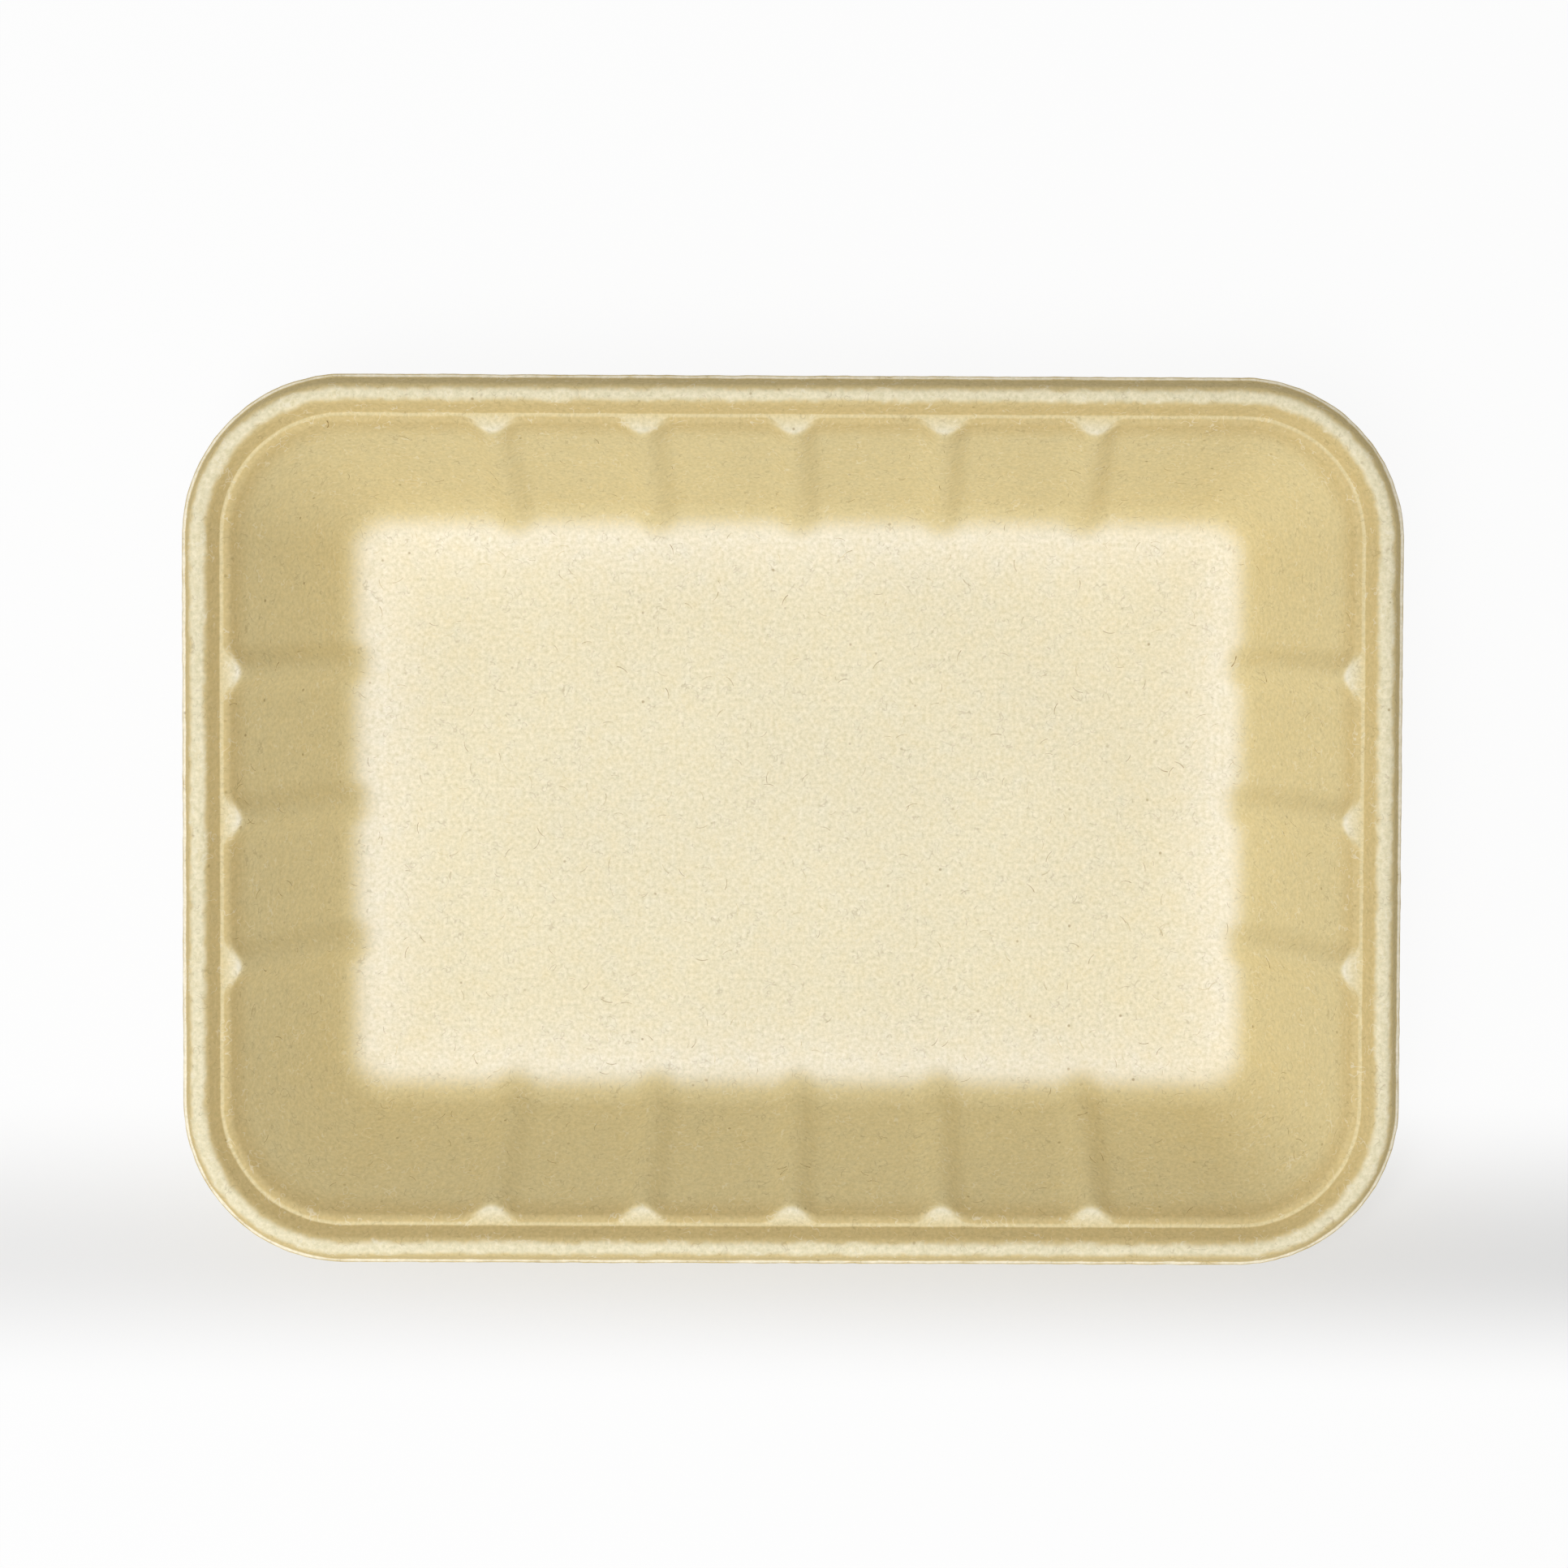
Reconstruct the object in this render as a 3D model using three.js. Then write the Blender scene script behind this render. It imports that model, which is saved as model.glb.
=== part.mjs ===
// Serving tray pressed in one piece from bagasse pulp: a thin shell with a raised rim, a narrow
// ledge inside it, drafted walls with ribs pushed inwards, and a flat floor.
// Millimetres, +Z up, X along the length. The origin is under the middle of the base.
import * as THREE from "three";

// Overall size, and the thickness of the pressed pulp.
const LENGTH = 230;
const WIDTH = 168;
const HEIGHT = 38;
const THICKNESS = 0.7;

// Plan radii of the corners: at the outer edge of the lip, and where the flat floor begins.
const LIP_CORNER_R = 30.6;
const FLOOR_CORNER_R = 4.5;

// The rim from its outer edge inwards, with heights measured down from the crown.
const LIP_WIDTH = 0.7;
const LIP_DROP = 4.2;
const OUTER_SLOPE_RUN = 1.7;
const CROWN_WIDTH = 2.9;
const INNER_SLOPE_RUN = 1.9;
const LEDGE_DROP = 3.5;
const LEDGE_WIDTH = 1.6;

// The wall leans outwards by this much from the vertical, so that trays nest and leave the mould.
const WALL_DRAFT_DEG = 27;

// Radius on the hollow side of each bend. The other side is wider by the thickness.
const LIP_BEND_R = 0.5;
const CROWN_BEND_R = 1.3;
const LEDGE_BEND_R = 0.4;
const WALL_TOP_BEND_R = 0.3;
const FLOOR_BEND_R = 9;

// Ribs pushed inwards from outside, centred on each side. As many stand at their pitch as leave
// this much plain wall beside each corner: five on a long side and three on a short one.
const LONG_SIDE_RIB_PITCH = 28.35;
const SHORT_SIDE_RIB_PITCH = 27.8;
const RIB_TO_CORNER = 12;
const RIB_WIDTH = 11;
const RIB_TOP_DEPTH = 2.45;
const RIB_FOOT_DEPTH = 1.8;

// Facets of each curved form.
const CORNER_STEPS = 10;
const RIB_STEPS = 6;
const FLOOR_BEND_STEPS = 6;
const SMALL_BEND_STEPS = 2;

const floorZ = THICKNESS;
const lipZ = HEIGHT - LIP_DROP;
const ledgeZ = HEIGHT - LEDGE_DROP;

// Distances inwards from the outer edge to where the straight runs of the section would meet.
const crownOuterIn = LIP_WIDTH + OUTER_SLOPE_RUN;
const crownInnerIn = crownOuterIn + CROWN_WIDTH;
const ledgeIn = crownInnerIn + INNER_SLOPE_RUN;
const wallTopIn = ledgeIn + LEDGE_WIDTH;
const draft = THREE.MathUtils.degToRad(WALL_DRAFT_DEG);
const wallFootIn = wallTopIn + (ledgeZ - floorZ) * Math.tan(draft);
const floorEdgeIn = wallFootIn + FLOOR_BEND_R * Math.tan((Math.PI / 2 - draft) / 2);

// Corners of the section's upper face, from the middle of the floor out to the lip. Each stands
// at its distance inwards and its height. A crest bends over, so its hollow side is underneath.
const sectionCorners = [
  { at: [WIDTH / 2, floorZ] },
  { at: [wallFootIn, floorZ], hollowR: FLOOR_BEND_R, steps: FLOOR_BEND_STEPS, ribbed: true },
  { at: [wallTopIn, ledgeZ], hollowR: WALL_TOP_BEND_R, crest: true, ribbed: true },
  { at: [ledgeIn, ledgeZ], hollowR: LEDGE_BEND_R },
  { at: [crownInnerIn, HEIGHT], hollowR: CROWN_BEND_R, crest: true },
  { at: [crownOuterIn, HEIGHT], hollowR: CROWN_BEND_R, crest: true },
  { at: [LIP_WIDTH, lipZ], hollowR: LIP_BEND_R },
  { at: [0, lipZ] },
];

const centre = new THREE.Vector2();

// Points round one bend of the upper face, each with the face's normal there. A bend takes up at
// most half of the straight run on either side of it.
function bendPoints(before, corner, after) {
  const { hollowR, crest = false, steps = SMALL_BEND_STEPS, ribbed = false } = corner;
  const tip = new THREE.Vector2(...corner.at);
  const back = new THREE.Vector2(...before.at).sub(tip);
  const ahead = new THREE.Vector2(...after.at).sub(tip);
  const room = Math.min(back.length(), ahead.length()) / 2;
  back.normalize();
  ahead.normalize();
  const halfOpening = back.angleTo(ahead) / 2;
  const wanted = (hollowR + (crest ? THICKNESS : 0)) / Math.tan(halfOpening);
  const tangent = Math.min(wanted, room);
  const radius = tangent * Math.tan(halfOpening);
  const reach = radius / Math.sin(halfOpening);
  const bendCentre = back.clone().add(ahead).setLength(reach).add(tip);
  const firstSpoke = tip.clone().addScaledVector(back, tangent).sub(bendCentre);
  const sense = crest ? 1 : -1;
  return Array.from({ length: steps + 1 }, (_, i) => {
    const turned = (sense * (Math.PI - 2 * halfOpening) * i) / steps;
    const spoke = firstSpoke.clone().rotateAround(centre, turned);
    const normal = spoke.clone().multiplyScalar(sense / radius);
    return { point: spoke.add(bendCentre), normal, ribbed };
  });
}

// Ribs are deepest at the ledge, where their tops are small shelves level with it.
function ribDepthAt(z) {
  return THREE.MathUtils.lerp(RIB_FOOT_DEPTH, RIB_TOP_DEPTH, (z - floorZ) / (ledgeZ - floorZ));
}

// The closed section: the upper face outwards, then the underside back to the floor.
function sectionLoop() {
  const bends = sectionCorners.slice(1, -1);
  const upper = bends.flatMap((corner, i) =>
    bendPoints(sectionCorners[i], corner, sectionCorners[i + 2]),
  );
  upper.push({ point: new THREE.Vector2(0, lipZ), normal: new THREE.Vector2(0, 1), ribbed: false });
  const levelAt = (depth) => ({ point, normal, ribbed }) => ({
    inwards: point.x - normal.x * depth,
    z: point.y - normal.y * depth,
    ribDepth: ribDepthAt(point.y),
    ribbed,
  });
  return [...upper.map(levelAt(0)), ...upper.toReversed().map(levelAt(THICKNESS))];
}

// The rim keeps one corner centre. Below it the wall's corners tighten towards the floor.
function cornerRadiusAt(inwards) {
  const rimR = LIP_CORNER_R - Math.min(inwards, wallTopIn);
  const descent = Math.max(inwards - wallTopIn, 0) / (floorEdgeIn - wallTopIn);
  return THREE.MathUtils.lerp(rimR, FLOOR_CORNER_R, descent);
}

// One side of the tray: how far it stands from the centre, half its span, and its ribs' middles.
function makeSide(reach, half, pitch) {
  const straight = 2 * (half - Math.max(LIP_CORNER_R, floorEdgeIn + FLOOR_CORNER_R));
  const gaps = Math.max(Math.floor((straight - 2 * RIB_TO_CORNER - RIB_WIDTH) / pitch), 0);
  const ribs = Array.from({ length: gaps + 1 }, (_, i) => (i - gaps / 2) * pitch);
  return { reach, half, ribs };
}
const shortSide = makeSide(LENGTH / 2, WIDTH / 2, SHORT_SIDE_RIB_PITCH);
const longSide = makeSide(WIDTH / 2, LENGTH / 2, LONG_SIDE_RIB_PITCH);

// The four sides, anticlockwise from the one that faces +X.
const sides = [shortSide, longSide, shortSide, longSide].map((side, i) => ({
  ...side,
  facing: (i * Math.PI) / 2,
}));

// A station is one place round the tray: across a rib of a side, or round the corner after it.
// A rib's bulge follows a raised cosine across its width.
function stationsOf(side) {
  const acrossRibs = side.ribs.flatMap((middle) =>
    Array.from({ length: RIB_STEPS + 1 }, (_, i) => {
      const across = i / RIB_STEPS - 0.5;
      const bulge = (1 + Math.cos(2 * Math.PI * across)) / 2;
      return { side, along: middle + across * RIB_WIDTH, bulge, atCorner: false };
    }),
  );
  const roundCorner = Array.from({ length: CORNER_STEPS + 1 }, (_, i) => ({
    side,
    turned: (i / CORNER_STEPS) * (Math.PI / 2),
    atCorner: true,
  }));
  return [...acrossRibs, ...roundCorner];
}
const stations = sides.flatMap(stationsOf).map((station, order) => ({ ...station, order }));
const cornerStations = stations.filter((station) => station.atCorner);

function stationPoint({ side, along, bulge, turned, atCorner }, { inwards, z, ribDepth }) {
  const plan = new THREE.Vector2(side.reach - inwards - ribDepth * bulge, along);
  if (atCorner) {
    const radius = cornerRadiusAt(inwards);
    const cornerCentre = new THREE.Vector2(side.reach, side.half).subScalar(inwards + radius);
    plan.set(radius, 0).rotateAround(centre, turned).add(cornerCentre);
  }
  plan.rotateAround(centre, side.facing);
  return new THREE.Vector3(plan.x, plan.y, z);
}

const vertices = [];
const faces = [];

// One turn round the tray at a level of the section. Levels without ribs need corners only.
function addRing(level) {
  return (level.ribbed ? stations : cornerStations).map((station) => ({
    order: station.order,
    vertex: vertices.push(stationPoint(station, level)) - 1,
  }));
}

// Triangles between two neighbouring rings, which may hold different numbers of stations.
function joinRings(lower, upper) {
  const orderAt = (ring, i) => (i < ring.length ? ring[i].order : stations.length);
  const vertexAt = (ring, i) => ring[i % ring.length].vertex;
  let i = 0;
  let j = 0;
  while (i < lower.length || j < upper.length) {
    const start = [vertexAt(lower, i), vertexAt(upper, j)];
    const upperIsNext = i === lower.length || orderAt(upper, j + 1) < orderAt(lower, i + 1);
    if (upperIsNext && j < upper.length) {
      j += 1;
      faces.push([...start, vertexAt(upper, j)]);
    } else {
      i += 1;
      faces.push([...start, vertexAt(lower, i)]);
    }
  }
}

// The flat floor, or the flat base under it, as a fan from its middle.
function closeFlat(ring, z, facesUp) {
  const middle = vertices.push(new THREE.Vector3(0, 0, z)) - 1;
  ring.forEach(({ vertex }, i) => {
    const next = ring[(i + 1) % ring.length].vertex;
    faces.push(facesUp ? [middle, vertex, next] : [middle, next, vertex]);
  });
}

function shellGeometry() {
  const rings = sectionLoop().map(addRing);
  rings.slice(1).forEach((ring, i) => joinRings(rings[i], ring));
  closeFlat(rings[0], floorZ, true);
  closeFlat(rings.at(-1), 0, false);
  const geometry = new THREE.BufferGeometry().setFromPoints(vertices);
  geometry.setIndex(faces.flat());
  geometry.computeVertexNormals();
  return geometry;
}

const pulp = new THREE.MeshStandardMaterial({ color: 0xe6dcb9, roughness: 0.92, metalness: 0 });
const tray = new THREE.Mesh(shellGeometry(), pulp);
tray.name = "tray";

const servingTray = new THREE.Group();
servingTray.add(tray);

export default servingTray;
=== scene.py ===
"""A serving tray pressed in one piece from bagasse pulp, lying open on a pale floor."""
import math

import bpy
import numpy as np
from mathutils import Matrix, Vector


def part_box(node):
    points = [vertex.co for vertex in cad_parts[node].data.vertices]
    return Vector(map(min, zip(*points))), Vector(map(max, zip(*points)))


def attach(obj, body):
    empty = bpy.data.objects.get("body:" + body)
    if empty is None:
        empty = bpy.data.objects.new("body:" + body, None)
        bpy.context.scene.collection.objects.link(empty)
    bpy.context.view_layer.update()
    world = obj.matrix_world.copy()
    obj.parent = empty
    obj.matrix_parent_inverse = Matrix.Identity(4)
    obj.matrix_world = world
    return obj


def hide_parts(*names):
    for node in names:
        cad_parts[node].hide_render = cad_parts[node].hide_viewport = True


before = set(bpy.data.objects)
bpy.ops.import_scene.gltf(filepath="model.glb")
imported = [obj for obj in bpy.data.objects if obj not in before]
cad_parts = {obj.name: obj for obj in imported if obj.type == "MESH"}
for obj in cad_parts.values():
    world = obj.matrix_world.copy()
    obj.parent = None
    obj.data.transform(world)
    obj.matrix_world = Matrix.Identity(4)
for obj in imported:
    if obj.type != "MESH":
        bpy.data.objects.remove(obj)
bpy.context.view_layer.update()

MM = 0.001

# The tray's overall size comes from the frame.
tray_low, tray_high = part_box("tray")
LENGTH = tray_high[0] - tray_low[0]
WIDTH = tray_high[1] - tray_low[1]
HEIGHT = tray_high[2] - tray_low[2]

# The section of the shell, as the mould gives it.
THICKNESS = 0.7 * MM
LIP_CORNER_R = 30.6 * MM
FLOOR_CORNER_R = 4.5 * MM
LIP_WIDTH = 0.7 * MM
LIP_DROP = 4.2 * MM
OUTER_SLOPE_RUN = 1.4 * MM
CROWN_WIDTH = 3.2 * MM
INNER_SLOPE_RUN = 1.9 * MM
LEDGE_DROP = 3.5 * MM
LEDGE_WIDTH = 1.6 * MM
WALL_DRAFT = math.radians(27)

# Radius on the hollow side of each bend.
LIP_BEND_R = 0.5 * MM
CROWN_BEND_R = 1.3 * MM
LEDGE_BEND_R = 0.4 * MM
WALL_TOP_BEND_R = 1.1 * MM
FLOOR_BEND_R = 9 * MM

# The ribs pressed into the walls.
LONG_SIDE_RIB_PITCH = 28.35 * MM
SHORT_SIDE_RIB_PITCH = 27.8 * MM
LONG_SIDE_RIBS = 5
SHORT_SIDE_RIBS = 3
RIB_WIDTH = 11 * MM
RIB_TOP_DEPTH = 2.45 * MM
RIB_FOOT_DEPTH = 1.8 * MM

FLOOR_Z = THICKNESS
LIP_Z = HEIGHT - LIP_DROP
LEDGE_Z = HEIGHT - LEDGE_DROP
CROWN_OUTER_IN = LIP_WIDTH + OUTER_SLOPE_RUN
CROWN_INNER_IN = CROWN_OUTER_IN + CROWN_WIDTH
LEDGE_IN = CROWN_INNER_IN + INNER_SLOPE_RUN
WALL_TOP_IN = LEDGE_IN + LEDGE_WIDTH
WALL_FOOT_IN = WALL_TOP_IN + (LEDGE_Z - FLOOR_Z) * math.tan(WALL_DRAFT)
FLOOR_EDGE_IN = WALL_FOOT_IN + FLOOR_BEND_R * math.tan((math.pi / 2 - WALL_DRAFT) / 2)

# Fineness of the mesh.
STATION_STEP = 1.0 * MM
CORNER_STEPS = 44
BEND_STEP = 0.33 * MM
MOST_BEND_STEPS = 14
RUN_STEP = 1.9 * MM


def linear(*srgb):
    """A colour given as it looks, 0 to 255, as the shader wants it."""
    shares = [c / 255 for c in srgb]
    return tuple(s / 12.92 if s <= 0.04045 else ((s + 0.055) / 1.055) ** 2.4 for s in shares) + (1,)


# The section of the shell

def bend(before, tip, after, hollow_r, crest):
    """Points and upward normals round one bend of the section's upper face."""
    back = np.subtract(before, tip)
    ahead = np.subtract(after, tip)
    back = back / np.linalg.norm(back)
    ahead = ahead / np.linalg.norm(ahead)
    half_opening = math.acos(float(back @ ahead)) / 2
    radius = hollow_r + (THICKNESS if crest else 0)
    to_centre = (back + ahead) / np.linalg.norm(back + ahead)
    centre = tip + to_centre * radius / math.sin(half_opening)
    spoke = tip + back * radius / math.tan(half_opening) - centre
    sense = 1 if crest else -1
    turn = sense * (math.pi - 2 * half_opening)
    steps = min(max(3, round(radius * abs(turn) / BEND_STEP)), MOST_BEND_STEPS)
    points = []
    for i in range(steps + 1):
        c, s = math.cos(turn * i / steps), math.sin(turn * i / steps)
        turned = np.array([c * spoke[0] - s * spoke[1], s * spoke[0] + c * spoke[1]])
        points.append((centre + turned, turned * sense / radius))
    return points


def section():
    """The upper face from the floor's edge out to the lip: point, normal and whether ribs reach it."""
    corners = [
        ((WIDTH / 2, FLOOR_Z), 0, False),
        ((WALL_FOOT_IN, FLOOR_Z), FLOOR_BEND_R, False),
        ((WALL_TOP_IN, LEDGE_Z), WALL_TOP_BEND_R, True),
        ((LEDGE_IN, LEDGE_Z), LEDGE_BEND_R, False),
        ((CROWN_INNER_IN, HEIGHT), CROWN_BEND_R, True),
        ((CROWN_OUTER_IN, HEIGHT), CROWN_BEND_R, True),
        ((LIP_WIDTH, LIP_Z), LIP_BEND_R, False),
        ((0, LIP_Z), 0, False),
    ]
    path = []
    for before, (tip, hollow_r, crest), after in zip(corners, corners[1:], corners[2:]):
        points = bend(before[0], np.array(tip), after[0], hollow_r, crest)
        if path:
            path += straight_run(path[-1], points[0])
        path += [(point, normal, tip[0] >= WALL_TOP_IN) for point, normal in points]
    path.append((np.array([0, LIP_Z]), np.array([0, 1]), False))
    return path


def straight_run(last, first):
    """Points between two bends, so that the pulp's unevenness has something to move."""
    start, normal, ribbed = last
    steps = max(1, round(np.linalg.norm(first[0] - start) / RUN_STEP))
    ribbed = ribbed and start[0] > WALL_TOP_IN
    return [(start + (first[0] - start) * i / steps, normal, ribbed) for i in range(1, steps)]


def corner_radius(inwards):
    """The rim keeps one corner centre. Below it the corners tighten towards the floor."""
    rim_r = LIP_CORNER_R - min(inwards, WALL_TOP_IN)
    descent = max(inwards - WALL_TOP_IN, 0) / (FLOOR_EDGE_IN - WALL_TOP_IN)
    return rim_r + (FLOOR_CORNER_R - rim_r) * descent


# The shell

def stations():
    """Places round the tray: side, distance along it from its middle, and turn round its corner."""
    places = []
    for side in range(4):
        half = (WIDTH if side % 2 == 0 else LENGTH) / 2
        straight = half - max(LIP_CORNER_R, FLOOR_EDGE_IN + FLOOR_CORNER_R)
        steps = round(2 * straight / STATION_STEP)
        places += [(side, straight * (2 * i / steps - 1), None) for i in range(1, steps)]
        places += [(side, 0, math.pi / 2 * i / CORNER_STEPS) for i in range(CORNER_STEPS + 1)]
    return places


def station_point(place, inwards):
    """Plan position of a station at a distance inwards from the outer edge."""
    side, along, turned = place
    reach, half = (LENGTH / 2, WIDTH / 2) if side % 2 == 0 else (WIDTH / 2, LENGTH / 2)
    x, y = reach - inwards, along
    if turned is not None:
        radius = corner_radius(inwards)
        x = reach - inwards - radius + radius * math.cos(turned)
        y = half - inwards - radius + radius * math.sin(turned)
    c, s = round(math.cos(side * math.pi / 2)), round(math.sin(side * math.pi / 2))
    return c * x - s * y, s * x + c * y


def shell_mesh():
    """The closed shell before the ribs are pressed in. Its attributes say where each point lies."""
    upper = section()
    levels = [(*level, 0) for level in upper] + [(*level, 1) for level in reversed(upper)]
    places = stations()
    points, inward = [], []
    values = {name: [] for name in ("ribbed", "rise", "inset", "underside", "along", "long_side")}
    for point, normal, ribbed, under in levels:
        inwards, z = point - normal * THICKNESS * under
        for side, along, turned in places:
            points.append((*station_point((side, along, turned), inwards), z))
            facing = side * math.pi / 2
            inward.append((-math.cos(facing), -math.sin(facing), 0))
            values["ribbed"].append(float(ribbed and turned is None))
            values["rise"].append((point[1] - FLOOR_Z) / (LEDGE_Z - FLOOR_Z))
            values["inset"].append(point[0] / MM)
            values["underside"].append(float(under))
            values["along"].append(along)
            values["long_side"].append(float(side % 2))
    count = len(places)
    faces = [tuple(range(count)), tuple(reversed(range(len(points) - count, len(points))))]
    for ring in range(len(levels) - 1):
        for i in range(count):
            a, b = ring * count + i, ring * count + (i + 1) % count
            faces.append((a, a + count, b + count, b))
    mesh = bpy.data.meshes.new("tray_shell")
    mesh.from_pydata(points, [], faces)
    for name, data in values.items():
        mesh.attributes.new(name, "FLOAT", "POINT").data.foreach_set("value", data)
    vectors = mesh.attributes.new("inward", "FLOAT_VECTOR", "POINT")
    vectors.data.foreach_set("vector", np.array(inward, dtype=float).ravel())
    mesh.polygons.foreach_set("use_smooth", [True] * len(mesh.polygons))
    mesh.update()
    return mesh


# Node trees

def feed(tree, socket, value):
    """Links value into socket where it comes from another node, and sets it there otherwise."""
    if isinstance(value, bpy.types.NodeSocket):
        tree.links.new(value, socket)
    else:
        socket.default_value = value


def add(tree, kind, inputs=(), **settings):
    """A node with its settings and its inputs, by name or number."""
    node = tree.nodes.new(kind)
    for name, value in settings.items():
        setattr(node, name, value)
    for key, value in dict(inputs).items():
        feed(tree, node.inputs[key], value)
    return node


def sums(tree):
    """A short way to write arithmetic in a tree: calc("MULTIPLY", a, b)."""
    def calc(operation, *values, clamp=False):
        node = add(tree, "ShaderNodeMath", enumerate(values), operation=operation)
        if clamp:
            node.use_clamp = True
        return node.outputs[0]
    return calc


def new_tree(name, sizes):
    """A geometry tree with a geometry input and these named sizes."""
    tree = bpy.data.node_groups.new(name, "GeometryNodeTree")
    tree.interface.new_socket("Geometry", in_out="INPUT", socket_type="NodeSocketGeometry")
    for label, value in sizes.items():
        kind = "NodeSocketInt" if isinstance(value, int) else "NodeSocketFloat"
        tree.interface.new_socket(label, in_out="INPUT", socket_type=kind)
    tree.interface.new_socket("Geometry", in_out="OUTPUT", socket_type="NodeSocketGeometry")
    return tree, tree.nodes.new("NodeGroupInput").outputs, tree.nodes.new("NodeGroupOutput").inputs


def bake_tree(obj, tree, sizes):
    """Runs the tree on the object with these sizes and keeps the plain mesh that it gives."""
    modifier = obj.modifiers.new(tree.name, "NODES")
    modifier.node_group = tree
    for item in tree.interface.items_tree:
        if item.in_out == "INPUT" and item.name in sizes:
            modifier[item.identifier] = sizes[item.name]
    evaluated = obj.evaluated_get(bpy.context.evaluated_depsgraph_get())
    mesh = bpy.data.meshes.new_from_object(evaluated)
    obj.modifiers.clear()
    mesh.name = obj.name
    obj.data = mesh


def named(tree, name, kind="FLOAT"):
    """A named attribute of the mesh."""
    return add(tree, "GeometryNodeInputNamedAttribute", {"Name": name}, data_type=kind).outputs[0]


def scaled(tree, vector, amount):
    """The vector times a number."""
    inputs = {0: vector, "Scale": amount}
    return add(tree, "ShaderNodeVectorMath", inputs, operation="SCALE").outputs[0]


def finish_tree(tree, result, geometry, material):
    """Ends a geometry tree with plain geometry in one material."""
    plain = add(tree, "GeometryNodeRealizeInstances", {"Geometry": geometry}).outputs[0]
    coated = add(tree, "GeometryNodeSetMaterial", {"Geometry": plain, "Material": material})
    feed(tree, result["Geometry"], coated.outputs[0])


# Pressing

RIB_SIZES = {
    "Long side pitch": LONG_SIDE_RIB_PITCH,
    "Short side pitch": SHORT_SIDE_RIB_PITCH,
    "Long side ribs": LONG_SIDE_RIBS,
    "Short side ribs": SHORT_SIDE_RIBS,
    "Rib width": RIB_WIDTH,
    "Top depth": RIB_TOP_DEPTH,
    "Foot depth": RIB_FOOT_DEPTH,
}


def rib_tree(pulp):
    """Presses evenly spaced ribs into the walls, each a raised cosine across its width."""
    tree, sizes, result = new_tree("press_ribs", RIB_SIZES)
    calc = sums(tree)
    long_side = named(tree, "long_side")

    def by_side(name):
        short, long = sizes["Short side " + name], sizes["Long side " + name]
        return add(tree, "ShaderNodeMix", {"Factor": long_side, "A": short, "B": long}).outputs[0]

    along = named(tree, "along")
    pitch = by_side("pitch")
    last_rib = calc("DIVIDE", calc("SUBTRACT", by_side("ribs"), 1.0), 2.0)
    nearest = calc("ROUND", calc("DIVIDE", along, pitch))
    nearest = calc("MAXIMUM", calc("MINIMUM", nearest, last_rib), calc("MULTIPLY", last_rib, -1.0))
    from_rib = calc("ABSOLUTE", calc("SUBTRACT", along, calc("MULTIPLY", nearest, pitch)))
    across = calc("MINIMUM", calc("DIVIDE", calc("MULTIPLY", from_rib, 2.0), sizes["Rib width"]), 1.0)
    bulge = calc("MULTIPLY_ADD", calc("COSINE", calc("MULTIPLY", across, math.pi)), 0.5, 0.5)
    climb = calc("SUBTRACT", sizes["Top depth"], sizes["Foot depth"])
    depth = calc("MULTIPLY_ADD", named(tree, "rise"), climb, sizes["Foot depth"])
    bulge = calc("MULTIPLY", bulge, named(tree, "ribbed"))
    amount = calc("MULTIPLY", bulge, depth)
    shift = scaled(tree, named(tree, "inward", "FLOAT_VECTOR"), amount)
    pressed = add(tree, "GeometryNodeSetPosition", {"Geometry": sizes["Geometry"], "Offset": shift})
    marked = add(tree, "GeometryNodeStoreNamedAttribute",
                 {"Geometry": pressed.outputs[0], "Name": "pressed", "Value": bulge})
    finish_tree(tree, result, marked.outputs[0], pulp)
    return tree


PULP_SIZES = {
    "Wave length": 7 * MM,
    "Wave height": 0.09 * MM,
    "Edge tooth length": 2.2 * MM,
    "Edge tooth height": 0.16 * MM,
    "Seed": 4.0,
}


def settle_tree(pulp):
    """Leaves the pressed pulp a little uneven, and its trimmed edge a little rough.

    Both faces of the wall move together. The flat base and floor stay where they are."""
    tree, sizes, result = new_tree("settle_pulp", PULP_SIZES)
    calc = sums(tree)

    def drift(length, height, weight):
        inputs = {"W": sizes["Seed"], "Scale": calc("DIVIDE", 1.0, length), "Detail": 1.0}
        noise = add(tree, "ShaderNodeTexNoise", inputs, noise_dimensions="4D").outputs["Color"]
        centred = add(tree, "ShaderNodeVectorMath", {0: noise, 1: (0.5, 0.5, 0.5)}, operation="SUBTRACT")
        reach = calc("MULTIPLY", calc("MULTIPLY", height, 2.0), weight)
        return scaled(tree, centred.outputs[0], reach)

    above_floor = calc("MULTIPLY", named(tree, "rise"), 5.0, clamp=True)
    at_edge = calc("SUBTRACT", 1.0, named(tree, "inset"), clamp=True)
    waves = drift(sizes["Wave length"], sizes["Wave height"], above_floor)
    teeth = drift(sizes["Edge tooth length"], sizes["Edge tooth height"], at_edge)
    both = add(tree, "ShaderNodeVectorMath", {0: waves, 1: teeth}, operation="ADD").outputs[0]
    settled = add(tree, "GeometryNodeSetPosition", {"Geometry": sizes["Geometry"], "Offset": both})
    finish_tree(tree, result, settled.outputs[0], pulp)
    return tree


# The finish of the pulp, with light and shade painted into it

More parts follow.
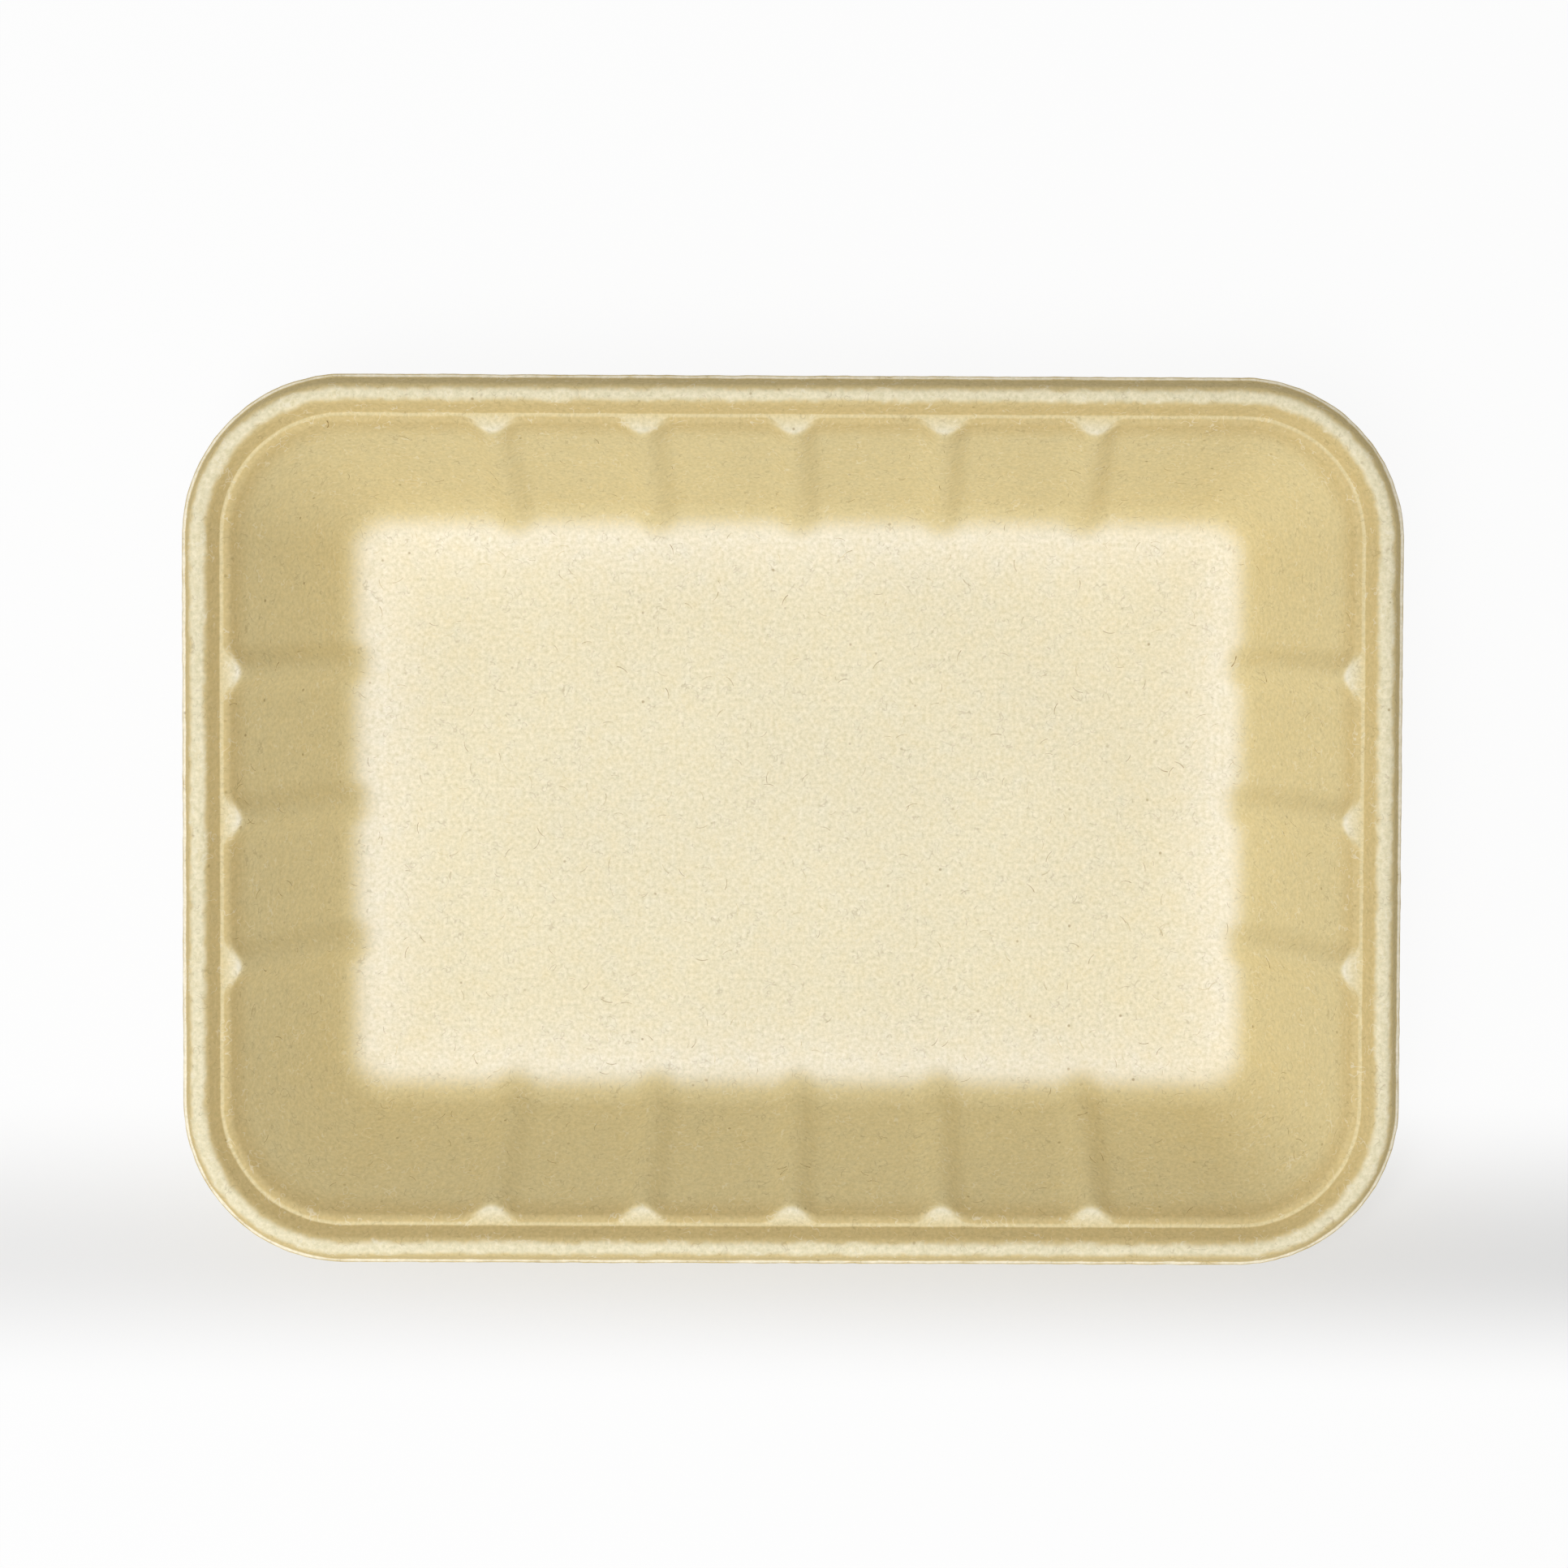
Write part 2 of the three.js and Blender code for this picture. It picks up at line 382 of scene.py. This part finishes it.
# The pulp's colours. The floor's edge and the lip are painted paler, as painted light; the crown, the
# ledge, the leaning faces and the rim slopes are painted tanner, as painted shade. Pale strands take the
# paler colour as their own.
FLAT_PULP = linear(241, 232, 202)
PAINTED_LIGHT_AND_PALE_STRAND_PULP = linear(246, 239, 218)
CROWN_PAINTED_SHADE_PULP = linear(236, 226, 192)
LEDGE_PAINTED_SHADE_PULP = linear(228, 213, 168)
LEANING_PAINTED_SHADE_PULP = linear(226, 210, 161)
RIM_SLOPE_PAINTED_SHADE_PULP = linear(216, 195, 141)
HUSK = linear(150, 122, 70)
PAINTED_GLOW_REACH = 17 * MM
SCREEN_PITCH = 0.8 * MM

# Sizes of the pulp's mottling, strands and flecks.
GRAIN = 0.75 * MM
CLOUD = 3.5 * MM
PATCH = 28 * MM
STRAND = 2.0 * MM
FLECK_SPACING = 2.6 * MM

# How strongly the mottling shows, on level faces and on leaning ones where it differs.
GRAIN_TONE, LEANING_GRAIN_TONE = 0.55, 0.4
GRAIN_BLUE, LEANING_GRAIN_BLUE = 0.25, 0.1
PATCH_TONE = 0.06
CLOUD_GREEN = 0.07
CLOUD_BLUE = 0.24

# Edges of the strands and flecks, the clouds that strands show in, and how strongly each shows.
STRAND_EDGE = (0.028, 0.006)
DENSE_CLOUD = (0.04, 0.12)
THIN_CLOUD = (-0.02, -0.1)
FLECK_EDGE = (0.15, 0.07)
FLECK_RARITY = 9.0
DARK_STRANDS, PALE_STRANDS, FLECKS = 0.24, 0.4, 0.6

# Height of the screen print, and how strong the grain's relief is beside it.
PRINT_HEIGHT = 0.012 * MM
GRAIN_HEIGHT = 1.4

# Where one colour gives way to the next, in millimetres inwards from the outer edge.
LIP_TO_SLOPE = (1.2, 0.6)
LEDGE_START = (6.4, 7.2)
RIM_END = (7.7, 7.3)
WALL_TOP_START = (7.5, 8.1)
CROWN_END = (9.0, 7.0)
LEDGE_END = (12.0, 9.0)

# How far a face leans where its colour starts to turn and where it has turned: 0 is level, 1 upright.
LEAN_START, LEAN_END = 0.06, 0.52

# What the grain, the clouds and the short sides add to that lean. Level faces are on no side.
GRAIN_LEAN = 0.2
CLOUD_LEAN, RIM_CLOUD_LEAN = 0.1, 0.8
SHORT_SIDE_LEAN = -0.1
LEVEL_SIDE_PART = 0.002


def noise_at(tree, place, size, detail):
    """Noise about zero whose patches are this large."""
    inputs = {"Vector": place.outputs["Object"], "Scale": 1 / size, "Detail": detail, "Roughness": 0.6}
    noise = add(tree, "ShaderNodeTexNoise", inputs).outputs["Fac"]
    return sums(tree)("SUBTRACT", noise, 0.5)


def smooth(tree, value, low, high):
    """0 up to low, 1 from high on, and a smooth step between them. Low may be the larger."""
    node = add(tree, "ShaderNodeMapRange", {"Value": value, "From Min": low, "From Max": high},
               interpolation_type="SMOOTHSTEP")
    return node.outputs["Result"]


def blend_colours(tree, share, first, second):
    """The first colour where share is 0, and the second where it is 1."""
    return add(tree, "ShaderNodeMix", {0: share, 6: first, 7: second}, data_type="RGBA").outputs[2]


def painted_floor_glow(tree, x, y):
    """Painted light: 1 at the edge of the flat floor, falling away inwards, where the floor is painted
    paler for the light that the walls bounce onto it.
    """
    calc = sums(tree)
    past = []
    for coordinate, size in ((x, LENGTH), (y, WIDTH)):
        straight = size / 2 - FLOOR_EDGE_IN - FLOOR_CORNER_R
        past.append(calc("SUBTRACT", calc("ABSOLUTE", coordinate), straight))
    squares = [calc("POWER", calc("MAXIMUM", p, 0.0), 2.0) for p in past]
    corner = calc("SQRT", calc("ADD", *squares))
    between = calc("MINIMUM", calc("MAXIMUM", *past), 0.0)
    past_edge = calc("SUBTRACT", calc("ADD", corner, between), FLOOR_CORNER_R)
    return calc("POWER", calc("MULTIPLY_ADD", past_edge, 1 / PAINTED_GLOW_REACH, 1.0, clamp=True), 2.0)


def screen_print(tree, x, y, facing):
    """The weave of the forming screen, left on the underside."""
    calc = sums(tree)
    across = calc("SINE", calc("MULTIPLY", x, 2 * math.pi / SCREEN_PITCH))
    along = calc("SINE", calc("MULTIPLY", y, 2 * math.pi / SCREEN_PITCH))
    return calc("MULTIPLY", calc("MULTIPLY", across, along), calc("LESS_THAN", facing, 0.0))


def pulp_material():
    """Pressed bagasse: cream pulp with fine fibres and flecks of husk. Leaning faces, the crown and the
    ledge are painted tanner as painted shade, and the floor's edge and the lip paler as painted light.
    """
    material = bpy.data.materials.new("pulp_with_painted_light_and_shade")
    material.use_nodes = True
    tree = material.node_tree
    calc = sums(tree)
    surface = tree.nodes["Principled BSDF"]
    surface.inputs["Roughness"].default_value = 0.9
    surface.inputs["Specular IOR Level"].default_value = 0.2

    place = tree.nodes.new("ShaderNodeTexCoord")
    x, y = add(tree, "ShaderNodeSeparateXYZ", {0: place.outputs["Object"]}).outputs[:2]
    facing = add(tree, "ShaderNodeSeparateXYZ", {0: place.outputs["Normal"]}).outputs
    inset = add(tree, "ShaderNodeAttribute", attribute_name="inset").outputs["Fac"]
    grain = noise_at(tree, place, GRAIN, 2.0)
    clouds = noise_at(tree, place, CLOUD, 2.0)
    patches = noise_at(tree, place, PATCH, 0.0)

    # Level faces are cream, and leaning faces are painted tanner and darker: painted shade, with the
    # deeper colour of light bounced between the walls. On the short sides the cream reaches further up
    # the bend. On the rim the change from one to the other is crumbly.
    lean = calc("SQRT", calc("SUBTRACT", 1.0, calc("ABSOLUTE", facing["Z"]), clamp=True))
    x_part, y_part = calc("POWER", facing["X"], 2.0), calc("POWER", facing["Y"], 2.0)
    short_side = calc("DIVIDE", x_part, calc("ADD", calc("ADD", x_part, y_part), LEVEL_SIDE_PART))
    rim = smooth(tree, inset, *RIM_END)
    cloud_share = calc("MULTIPLY_ADD", rim, RIM_CLOUD_LEAN - CLOUD_LEAN, CLOUD_LEAN)
    lean = calc("ADD", calc("MULTIPLY_ADD", grain, GRAIN_LEAN, lean), calc("MULTIPLY", clouds, cloud_share))
    lean = calc("MULTIPLY_ADD", short_side, SHORT_SIDE_LEAN, lean)
    lean_shade = smooth(tree, lean, LEAN_START, LEAN_END)

    # Between two ribs the ledge is painted darker than the floor, so that its lit line stays thin, and
    # the bend below it is painted in the rim slopes' tan: painted shade on faces that catch light.
    rib = add(tree, "ShaderNodeAttribute", attribute_name="pressed").outputs["Fac"]
    ledge_painted_shade = calc("MULTIPLY", smooth(tree, inset, *LEDGE_START), smooth(tree, inset, *LEDGE_END))
    ledge_painted_shade = calc("MULTIPLY", ledge_painted_shade, calc("SUBTRACT", 1.0, rib))
    wall_top_painted_shade = calc("MULTIPLY", smooth(tree, inset, *WALL_TOP_START), ledge_painted_shade)
    lean_shade = calc("MAXIMUM", lean_shade, wall_top_painted_shade)
    # Painted light: the floor is painted paler towards its edge, for the light that the walls bounce onto
    # it.
    level = blend_colours(tree, painted_floor_glow(tree, x, y), FLAT_PULP, PAINTED_LIGHT_AND_PALE_STRAND_PULP)
    # Painted shade: the crown is painted tanner than the floor, as it takes fuller light than the floor.
    level = blend_colours(tree, smooth(tree, inset, *CROWN_END), level, CROWN_PAINTED_SHADE_PULP)
    level = blend_colours(tree, ledge_painted_shade, level, LEDGE_PAINTED_SHADE_PULP)
    # Painted light: the lip is painted pale, where the crown shades it.
    level = blend_colours(tree, smooth(tree, inset, *LIP_TO_SLOPE), level, PAINTED_LIGHT_AND_PALE_STRAND_PULP)
    # Painted shade: the rim slopes and the bend under the ledge take the darker tan.
    leaning_shade_colour = blend_colours(tree, calc("MAXIMUM", rim, wall_top_painted_shade), LEANING_PAINTED_SHADE_PULP, RIM_SLOPE_PAINTED_SHADE_PULP)
    colour = blend_colours(tree, lean_shade, level, leaning_shade_colour)

    # The pulp is mottled, in tone by its grain and patches and in warmth by its clouds. Its darker
    # grains are warmer too.
    def grain_share(on_level, on_leaning):
        return calc("MULTIPLY_ADD", lean_shade, on_leaning - on_level, on_level)

    tone = calc("MULTIPLY_ADD", grain, grain_share(GRAIN_TONE, LEANING_GRAIN_TONE), 1.0)
    tone = calc("MULTIPLY_ADD", patches, PATCH_TONE, tone)
    green = calc("MULTIPLY_ADD", clouds, CLOUD_GREEN, tone)
    blue = calc("MULTIPLY_ADD", grain, grain_share(GRAIN_BLUE, LEANING_GRAIN_BLUE), tone)
    blue = calc("MULTIPLY_ADD", clouds, CLOUD_BLUE, blue)
    mottle = add(tree, "ShaderNodeCombineXYZ", {0: tone, 1: green, 2: blue}).outputs[0]
    colour = add(tree, "ShaderNodeVectorMath", {0: colour, 1: mottle}, operation="MULTIPLY").outputs[0]

    # A strand runs where a noise crosses zero, dark in dense clouds and pale in thin ones.
    strands = calc("ABSOLUTE", noise_at(tree, place, STRAND, 1.0))
    strands = smooth(tree, strands, *STRAND_EDGE)
    dark = calc("MULTIPLY", strands, smooth(tree, clouds, *DENSE_CLOUD))
    pale = calc("MULTIPLY", strands, smooth(tree, clouds, *THIN_CLOUD))
    cells = add(tree, "ShaderNodeTexVoronoi",
                {"Vector": place.outputs["Object"], "Scale": 1 / FLECK_SPACING})
    tint = add(tree, "ShaderNodeSeparateColor", {0: cells.outputs["Color"]}).outputs[0]
    spots = smooth(tree, cells.outputs["Distance"], *FLECK_EDGE)
    flecks = calc("MULTIPLY", spots, calc("POWER", tint, FLECK_RARITY))
    colour = blend_colours(tree, calc("MULTIPLY", dark, DARK_STRANDS), colour, HUSK)
    colour = blend_colours(tree, calc("MULTIPLY", pale, PALE_STRANDS), colour, PAINTED_LIGHT_AND_PALE_STRAND_PULP)
    colour = blend_colours(tree, calc("MULTIPLY", flecks, FLECKS), colour, HUSK)
    feed(tree, surface.inputs["Base Color"], colour)

    height = calc("MULTIPLY_ADD", grain, GRAIN_HEIGHT, screen_print(tree, x, y, facing["Z"]))
    relief = add(tree, "ShaderNodeBump", {"Height": height, "Distance": PRINT_HEIGHT, "Strength": 1.0})
    feed(tree, surface.inputs["Normal"], relief.outputs[0])
    return material


PALE_FIBRE = linear(226, 212, 168)
BROWN_FIBRE = linear(158, 128, 76)
FIBRE_PATCH = 6 * MM
FIBRE_TURN = (-0.12, 0.12)
FIBRES_FROM_IN = WALL_TOP_IN / MM + 0.5

FIBRE_SIZES = {
    "Fibre length": 2.2 * MM,
    "Fibre bow": 0.5 * MM,
    "Fibre radius": 0.08 * MM,
    "Sunk by": 0.04 * MM,
    "Shortest share": 0.35,
    "Longest share": 1.1,
    "Fibres per square metre": 26000.0,
    "Seed": 7,
}


def fibre_tree(husk):
    """Strews short bowed fibres over the walls and floor, partly sunk in the pulp."""
    tree, sizes, result = new_tree("strew_fibres", FIBRE_SIZES)
    calc = sums(tree)
    half = calc("MULTIPLY", sizes["Fibre length"], 0.5)
    depth = calc("MULTIPLY", sizes["Sunk by"], -1.0)
    start, end = (
        add(tree, "ShaderNodeCombineXYZ", {"X": calc("MULTIPLY", half, sign), "Z": depth}).outputs[0]
        for sign in (-1.0, 1.0)
    )
    bow = add(tree, "ShaderNodeCombineXYZ", {"Y": sizes["Fibre bow"], "Z": depth}).outputs[0]
    arc = add(tree, "GeometryNodeCurveQuadraticBezier",
              {"Resolution": 4, "Start": start, "Middle": bow, "End": end})
    ring = add(tree, "GeometryNodeCurvePrimitiveCircle",
               {"Resolution": 4, "Radius": sizes["Fibre radius"]})
    fibre = add(tree, "GeometryNodeCurveToMesh",
                {"Curve": arc.outputs[0], "Profile Curve": ring.outputs[0], "Fill Caps": True})

    # Points of the underside count as lying at the outer edge, where there are no fibres.
    upper_side = calc("SUBTRACT", 1.0, named(tree, "underside"))
    inside = calc("MULTIPLY", named(tree, "inset"), upper_side)
    upper = add(tree, "FunctionNodeCompare", {0: inside, 1: FIBRES_FROM_IN}, operation="GREATER_THAN")
    spots = add(tree, "GeometryNodeDistributePointsOnFaces",
                {"Mesh": sizes["Geometry"], "Selection": upper.outputs[0],
                 "Density": sizes["Fibres per square metre"], "Seed": sizes["Seed"]})
    turn = add(tree, "FunctionNodeRandomValue", {2: 0.0, 3: 2 * math.pi, "Seed": sizes["Seed"]})
    twist = add(tree, "FunctionNodeAxisAngleToRotation", {"Axis": (0, 0, 1), "Angle": turn.outputs[1]})
    lay = add(tree, "FunctionNodeRotateRotation", {0: spots.outputs["Rotation"], 1: twist.outputs[0]},
              rotation_space="LOCAL")
    size_seed = calc("ADD", sizes["Seed"], 1.0)
    size = add(tree, "FunctionNodeRandomValue",
               {2: sizes["Shortest share"], 3: sizes["Longest share"], "Seed": size_seed})
    strewn = add(tree, "GeometryNodeInstanceOnPoints",
                 {"Points": spots.outputs["Points"], "Instance": fibre.outputs[0],
                  "Rotation": lay.outputs[0], "Scale": size.outputs[1]})
    finish_tree(tree, result, strewn.outputs[0], husk)
    return tree


def fibre_material():
    """Bagasse fibre: straw in some places and light brown in others."""
    material = bpy.data.materials.new("bagasse_fibre")
    material.use_nodes = True
    tree = material.node_tree
    surface = tree.nodes["Principled BSDF"]
    surface.inputs["Roughness"].default_value = 0.7
    surface.inputs["Specular IOR Level"].default_value = 0.3
    place = tree.nodes.new("ShaderNodeTexCoord")
    share = smooth(tree, noise_at(tree, place, FIBRE_PATCH, 1.0), *FIBRE_TURN)
    feed(tree, surface.inputs["Base Color"], blend_colours(tree, share, PALE_FIBRE, BROWN_FIBRE))
    return material


pulp = pulp_material()
shell = bpy.data.objects.new("tray_shell", shell_mesh())
bpy.context.scene.collection.objects.link(shell)
shell.data.materials.append(pulp)
bake_tree(shell, rib_tree(pulp), RIB_SIZES)
bake_tree(shell, settle_tree(pulp), PULP_SIZES)
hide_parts("tray")
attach(shell, "root")

fibres = bpy.data.objects.new("surface_fibres", shell.data.copy())
bpy.context.scene.collection.objects.link(fibres)
bake_tree(fibres, fibre_tree(fibre_material()), FIBRE_SIZES)
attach(fibres, "root")


# The floor, the lamps and the camera

FLOOR_REACH = 3.0
SHADOW_Y = -92 * MM
SHADOW_FAR_FADE = 34 * MM
SHADOW_NEAR_FADE = 28 * MM
SHADOW_ENDS = (190 * MM, 260 * MM)
FLOOR_WHITENESS = 0.92
SHADOW_BAND_GREY = (0.84, 0.84, 0.84, 1)


def floor_material():
    """Near white to the camera, so that the tray's shadow is faint. In a band along the tray's near
    side the white gives way to the floor's grey, a painted shadow band, and the tray's own shadow shows in
    full."""
    material = bpy.data.materials.new("pale_floor")
    material.use_nodes = True
    tree = material.node_tree
    calc = sums(tree)
    tree.nodes.clear()
    place = tree.nodes.new("ShaderNodeTexCoord")
    x, y = add(tree, "ShaderNodeSeparateXYZ", {0: place.outputs["Object"]}).outputs[:2]
    # Painted shadow: along the tray's near side the white gives way to the floor's grey, a band that stands
    # in for a soft shadow.
    beyond = smooth(tree, y, SHADOW_Y, SHADOW_Y + SHADOW_FAR_FADE)
    before = smooth(tree, y, SHADOW_Y, SHADOW_Y - SHADOW_NEAR_FADE)
    beside = smooth(tree, calc("ABSOLUTE", x), *SHADOW_ENDS)
    whiteness = calc("MAXIMUM", calc("MAXIMUM", beyond, before), beside)
    whiteness = calc("MULTIPLY", whiteness, FLOOR_WHITENESS)
    matt = add(tree, "ShaderNodeBsdfDiffuse", {"Color": SHADOW_BAND_GREY})
    white = add(tree, "ShaderNodeEmission", {"Color": (1, 1, 1, 1), "Strength": 1.0})
    share = calc("MULTIPLY", tree.nodes.new("ShaderNodeLightPath").outputs["Is Camera Ray"], whiteness)
    mixed = add(tree, "ShaderNodeMixShader", {0: share, 1: matt.outputs[0], 2: white.outputs[0]})
    add(tree, "ShaderNodeOutputMaterial", {"Surface": mixed.outputs[0]})
    return material


floor_mesh = bpy.data.meshes.new("floor")
corners = [(-1, -1), (1, -1), (1, 1), (-1, 1)]
floor_mesh.from_pydata([(x * FLOOR_REACH, y * FLOOR_REACH, 0) for x, y in corners], [], [(0, 1, 2, 3)])
floor_mesh.materials.append(floor_material())
floor = bpy.data.objects.new("floor", floor_mesh)
bpy.context.scene.collection.objects.link(floor)

SENSOR = 36
EYE = Vector((18.3, 57.0, 553.7)) * MM
AIM = Vector((20.38, 43.64, 34.5)) * MM
ROLL = math.radians(0.245)
LENS = 1.7604 * SENSOR
SHIFT = (-0.0749, -0.1232)


def place_camera():
    """Looks down on the tray. The shift keeps the rim's sides parallel, as they are seen."""
    camera = bpy.data.objects.new("camera", bpy.data.cameras.new("camera"))
    bpy.context.scene.collection.objects.link(camera)
    bpy.context.scene.camera = camera
    camera.data.sensor_width = SENSOR
    camera.data.lens = LENS
    camera.data.shift_x, camera.data.shift_y = SHIFT
    forward = (AIM - EYE).normalized()
    right = forward.cross(Vector((0, 1, 0))).normalized()
    up = right.cross(forward)
    facing = Matrix((right, up, -forward)).transposed() @ Matrix.Rotation(ROLL, 3, "Z")
    camera.rotation_mode = "QUATERNION"
    camera.rotation_quaternion = facing.to_quaternion()
    camera.location = EYE


# Strength of the sky, and the power and place of each lamp in watts and metres.
SKY = 0.38
KEY, KEY_PLACE = 4.7, (-0.16, -0.16, 0.9)
SIDE, SIDE_PLACE = 0.87, (-0.5, -0.5, 0.65)
LAMP_SIZE = 0.5


def softbox(name, place, power):
    """A square lamp that faces the middle of the tray."""
    lamp = bpy.data.objects.new(name, bpy.data.lights.new(name, "AREA"))
    lamp.data.size = LAMP_SIZE
    lamp.data.energy = power
    lamp.location = place
    lamp.rotation_mode = "QUATERNION"
    lamp.rotation_quaternion = (-Vector(place)).to_track_quat("-Z", "Y")
    bpy.context.scene.collection.objects.link(lamp)


def pale_world(strength):
    """Even white light from all round, and white where the camera sees past the floor."""
    world = bpy.data.worlds.new("pale_world")
    bpy.context.scene.world = world
    world.use_nodes = True
    tree = world.node_tree
    calc = sums(tree)
    light_path = add(tree, "ShaderNodeLightPath").outputs
    seen = calc("MAXIMUM", light_path["Is Camera Ray"], light_path["Is Glossy Ray"])
    seen = calc("MAXIMUM", seen, light_path["Is Transmission Ray"])
    level = calc("MULTIPLY_ADD", seen, 1 - strength, strength)
    feed(tree, tree.nodes["Background"].inputs["Strength"], level)
    tree.nodes["Background"].inputs["Color"].default_value = (1, 1, 1, 1)


place_camera()
pale_world(SKY)
softbox("key", KEY_PLACE, KEY)
softbox("side", SIDE_PLACE, SIDE)
bpy.context.scene.view_settings.view_transform = "Standard"
